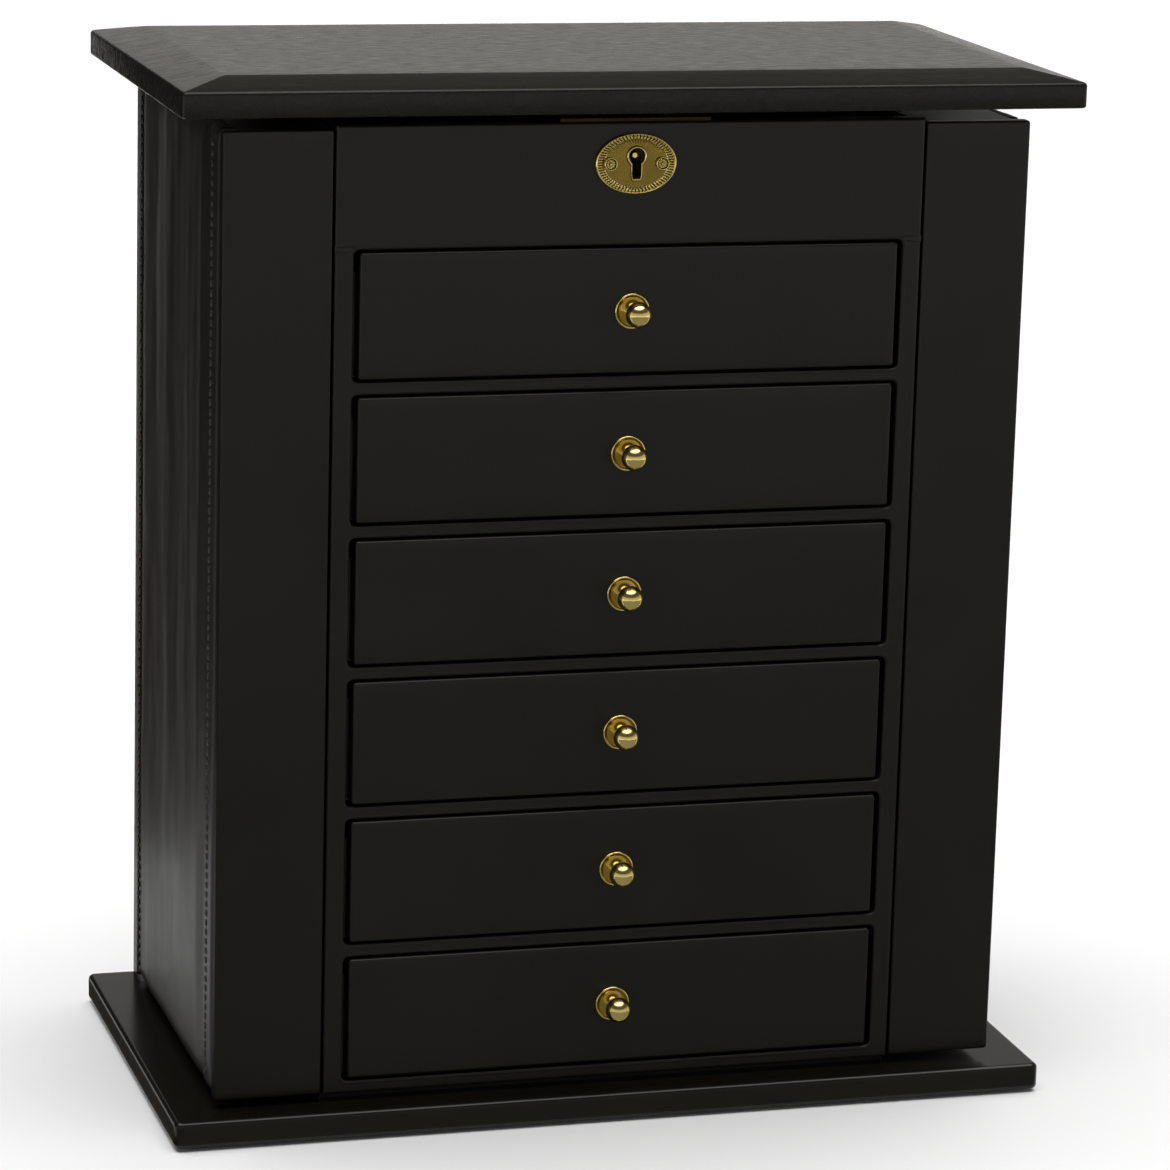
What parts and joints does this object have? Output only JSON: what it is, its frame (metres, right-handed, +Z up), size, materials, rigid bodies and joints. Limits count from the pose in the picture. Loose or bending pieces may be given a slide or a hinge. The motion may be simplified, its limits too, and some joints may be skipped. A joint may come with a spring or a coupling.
{
  "type": "jewelry armoire",
  "caption": "Tabletop jewelry armoire with a hinged lid, drawers, swing-out side doors and brass fittings on a flat base.",
  "frame": {"origin": "middle of the footprint's bounding box, at the underside of the felt pads", "axes": "+Z up, the front looks along -Y, +X to the right of someone facing the front"},
  "size_m": [0.298, 0.1666, 0.3475],
  "materials": {
    "leather_black": "smooth black synthetic leather wrapped over fibreboard, satin",
    "velvet": "short-pile black velvet lining",
    "felt": "pressed felt",
    "brass": "polished and lacquered",
    "steel": "zinc-plated",
    "mirror": "silvered glass"
  },
  "bodies": {
    "carcass": {"base_board": "leather_black", "foot_pads": "felt", "back_panel": "leather_black", "floor_panel": "leather_black", "inner_wall_left": "leather_black", "inner_wall_right": "leather_black", "drawer_shelves": "leather_black", "tray_deck": "leather_black", "face_frame": "leather_black", "lock_panel": "leather_black", "escutcheon": "brass", "escutcheon_pins": "brass", "lock_case": "steel", "lock_plate": "brass", "lid_bumpers": "felt", "tray_lining": "velvet", "tray_divider": "velvet", "ring_rolls": "velvet", "lid_hinge_base_left": "brass", "lid_hinge_base_right": "brass", "door_pivot_top_left": "brass", "door_pivot_top_right": "brass", "door_pivot_bottom_left": "steel", "door_pivot_bottom_right": "steel"},
    "lock_bolt": {"lock_bolt": "steel"},
    "lid": {"lid_board": "leather_black", "lid_lining": "velvet", "mirror_glass": "mirror", "lid_hinge_leaf_left": "brass", "lid_hinge_leaf_right": "brass", "strike_plate": "brass"},
    "door_left": {"door_front_left": "leather_black", "door_side_left": "leather_black", "door_frame_left": "leather_black", "door_hooks_left": "brass", "door_pocket_left": "velvet"},
    "door_right": {"door_front_right": "leather_black", "door_side_right": "leather_black", "door_frame_right": "leather_black", "door_hooks_right": "brass", "door_pocket_right": "velvet"},
    "drawer_1": {"drawer_front_1": "leather_black", "drawer_box_1": "velvet", "drawer_knob_1": "brass"},
    "drawer_2": {"drawer_front_2": "leather_black", "drawer_box_2": "velvet", "drawer_knob_2": "brass"},
    "drawer_3": {"drawer_front_3": "leather_black", "drawer_box_3": "velvet", "drawer_knob_3": "brass"},
    "drawer_4": {"drawer_front_4": "leather_black", "drawer_box_4": "velvet", "drawer_knob_4": "brass"},
    "drawer_5": {"drawer_front_5": "leather_black", "drawer_box_5": "velvet", "drawer_knob_5": "brass"},
    "drawer_6": {"drawer_front_6": "leather_black", "drawer_box_6": "velvet", "drawer_knob_6": "brass"}
  },
  "joints": [
    {"name": "lid_hinge", "type": "hinge", "parent": "carcass", "child": "lid", "pos_m": [0, 0.08144, 0.3341], "axis": [-1, 0, 0], "range_deg": [0, 95]},
    {"name": "door_left_hinge", "type": "hinge", "parent": "carcass", "child": "door_left", "pos_m": [-0.13, 0.06874, 0.17], "axis": [0, 0, -1], "range_deg": [0, 95]},
    {"name": "door_right_hinge", "type": "hinge", "parent": "carcass", "child": "door_right", "pos_m": [0.13, 0.06874, 0.17], "axis": [0, 0, 1], "range_deg": [0, 95]},
    {"name": "drawer_1_slide", "type": "slide", "parent": "carcass", "child": "drawer_1", "axis": [0, -1, 0], "range_m": [0, 0.1]},
    {"name": "drawer_2_slide", "type": "slide", "parent": "carcass", "child": "drawer_2", "axis": [0, -1, 0], "range_m": [0, 0.1]},
    {"name": "drawer_3_slide", "type": "slide", "parent": "carcass", "child": "drawer_3", "axis": [0, -1, 0], "range_m": [0, 0.1]},
    {"name": "drawer_4_slide", "type": "slide", "parent": "carcass", "child": "drawer_4", "axis": [0, -1, 0], "range_m": [0, 0.1]},
    {"name": "drawer_5_slide", "type": "slide", "parent": "carcass", "child": "drawer_5", "axis": [0, -1, 0], "range_m": [0, 0.1]},
    {"name": "drawer_6_slide", "type": "slide", "parent": "carcass", "child": "drawer_6", "axis": [0, -1, 0], "range_m": [0, 0.1]},
    {"name": "lock_bolt_slide", "type": "slide", "parent": "carcass", "child": "lock_bolt", "axis": [1, 0, 0], "range_m": [0, 0.004]}
  ]
}
